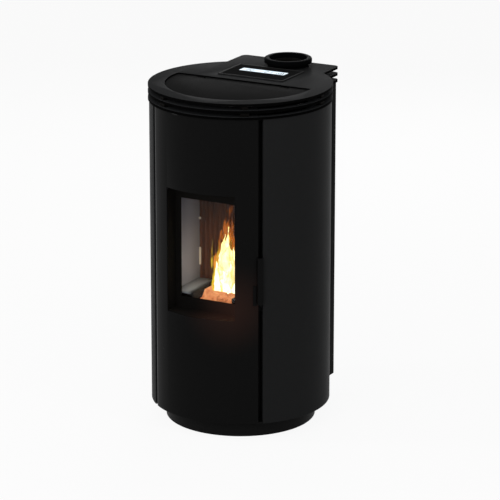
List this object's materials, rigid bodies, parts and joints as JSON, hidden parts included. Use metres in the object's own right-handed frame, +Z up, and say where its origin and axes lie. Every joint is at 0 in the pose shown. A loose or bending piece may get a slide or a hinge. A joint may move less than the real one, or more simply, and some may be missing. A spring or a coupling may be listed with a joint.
{
  "type": "pellet stove",
  "caption": "Round free-standing pellet stove with a curved glazed door, side grip lever, stacked vent plates, hopper lid, display and top flue collar.",
  "frame": {"origin": "on the floor, on the axis of the round body", "axes": "+X right seen from the front, -Y the door's side, +Z up"},
  "size_m": [0.51, 0.5685, 0.983],
  "materials": {
    "plinth": "satin black powder coat",
    "side_paint": "satin charcoal powder coat",
    "housing_paint": "satin black powder coat",
    "plate_paint": "satin charcoal powder coat",
    "lid_paint": "satin black powder coat",
    "door_gloss": "gloss black enamel",
    "frame_black": "matte black heat-proof paint",
    "door_glass": "clear heat-proof glass",
    "lever_metal": "dark satin metal",
    "rope": "woven glass rope",
    "stove_black": "matte black heat-proof paint",
    "casting": "dark iron, used",
    "side_liner": "grey fire-stained liner",
    "rear_liner": "brown fire-stained liner",
    "sheet_zinc": "galvanised sheet",
    "bare_steel": "plain steel",
    "motor_black": "black paint",
    "bezel": "satin black",
    "display_panel": "gloss black",
    "screen": "lit white screen",
    "board": "green circuit board",
    "black_plastic": "matte black",
    "button": "red"
  },
  "bodies": {
    "cabinet": {"plinth": "plinth", "base_plate": "plinth", "upright_left": "plinth", "upright_right": "plinth", "firebox_stand": "plinth", "side_panel_left": "side_paint", "side_panel_right": "side_paint", "rear_housing": "housing_paint", "rear_panel": "housing_paint", "cap_plate": "housing_paint", "vent_plate_lower": "plate_paint", "vent_plate_middle": "plate_paint", "top_plate": "plate_paint", "flue_collar": "plate_paint", "lid_gasket": "rope", "firebox_shell": "stove_black", "flue_riser": "stove_black", "firebox_floor": "casting", "side_liner_left": "side_liner", "side_liner_right": "side_liner", "rear_liner": "rear_liner", "smoke_baffle": "rear_liner", "hopper": "sheet_zinc", "auger_tube": "sheet_zinc", "pellet_chute": "sheet_zinc", "smoke_duct": "sheet_zinc", "smoke_fan_housing": "sheet_zinc", "room_fan_housing": "sheet_zinc", "air_intake_pipe": "sheet_zinc", "levelling_foot_front": "bare_steel", "levelling_foot_left": "bare_steel", "levelling_foot_right": "bare_steel", "hopper_grid": "bare_steel", "lid_hinge_left": "bare_steel", "lid_hinge_right": "bare_steel", "igniter": "bare_steel", "auger_gearmotor": "motor_black", "smoke_fan_motor": "motor_black", "room_fan_motor": "motor_black", "display_bezel": "bezel", "display_panel": "display_panel", "display_screen": "screen", "control_board": "board", "mains_inlet": "black_plastic", "thermostat": "black_plastic"},
    "door": {"door_panel": "door_gloss", "door_frame": "frame_black", "door_glass": "door_glass", "door_gasket": "rope", "glass_retainer": "frame_black"},
    "handle": {"door_lever": "lever_metal"},
    "lid": {"lid_panel": "lid_paint"},
    "auger": {"auger_screw": "bare_steel"},
    "smoke_wheel": {"smoke_impeller": "bare_steel"},
    "room_wheel": {"room_fan_wheel": "bare_steel"},
    "rocker": {"mains_rocker": "black_plastic"},
    "reset": {"reset_button": "button"},
    "pot": {"burn_pot": "casting"},
    "pan": {"ash_pan": "sheet_zinc"}
  },
  "joints": [
    {"name": "door_hinge", "type": "hinge", "parent": "cabinet", "child": "door", "pos_m": [-0.16198, -0.18648, 0], "axis": [0, 0, -1], "range_deg": [0, 95]},
    {"name": "handle_turn", "type": "hinge", "parent": "door", "child": "handle", "pos_m": [0.16001, -0.18421, 0.396], "axis": [0.755, 0.6558, 0], "range_deg": [0, 35]},
    {"name": "lid_hinge", "type": "hinge", "parent": "cabinet", "child": "lid", "pos_m": [0, 0.013, 0.9535], "axis": [-1, 0, 0], "range_deg": [0, 90]},
    {"name": "auger_spin", "type": "hinge", "parent": "cabinet", "child": "auger", "pos_m": [0, 0.035, 0.69], "axis": [0, -0.5, 0.866], "continuous": true},
    {"name": "smoke_fan_spin", "type": "hinge", "parent": "cabinet", "child": "smoke_wheel", "pos_m": [0, 0.178, 0.29], "axis": [1, 0, 0], "continuous": true},
    {"name": "room_fan_spin", "type": "hinge", "parent": "cabinet", "child": "room_wheel", "pos_m": [0, 0.04, 0.12402], "axis": [1, 0, 0], "continuous": true},
    {"name": "rocker_tilt", "type": "hinge", "parent": "cabinet", "child": "rocker", "pos_m": [-0.063, 0.3032, 0.12], "axis": [1, 0, 0], "range_deg": [0, 16]},
    {"name": "reset_press", "type": "slide", "parent": "cabinet", "child": "reset", "axis": [0, -1, 0], "range_m": [0, 0.0025], "stiffness_N_per_m": 400, "springref_m": -0.0005},
    {"name": "burn_pot_lift", "type": "slide", "parent": "cabinet", "child": "pot", "axis": [0, 0, 1], "range_m": [0, 0.09]},
    {"name": "ash_pan_slide", "type": "slide", "parent": "cabinet", "child": "pan", "axis": [0, -1, 0], "range_m": [0, 0.05]}
  ]
}
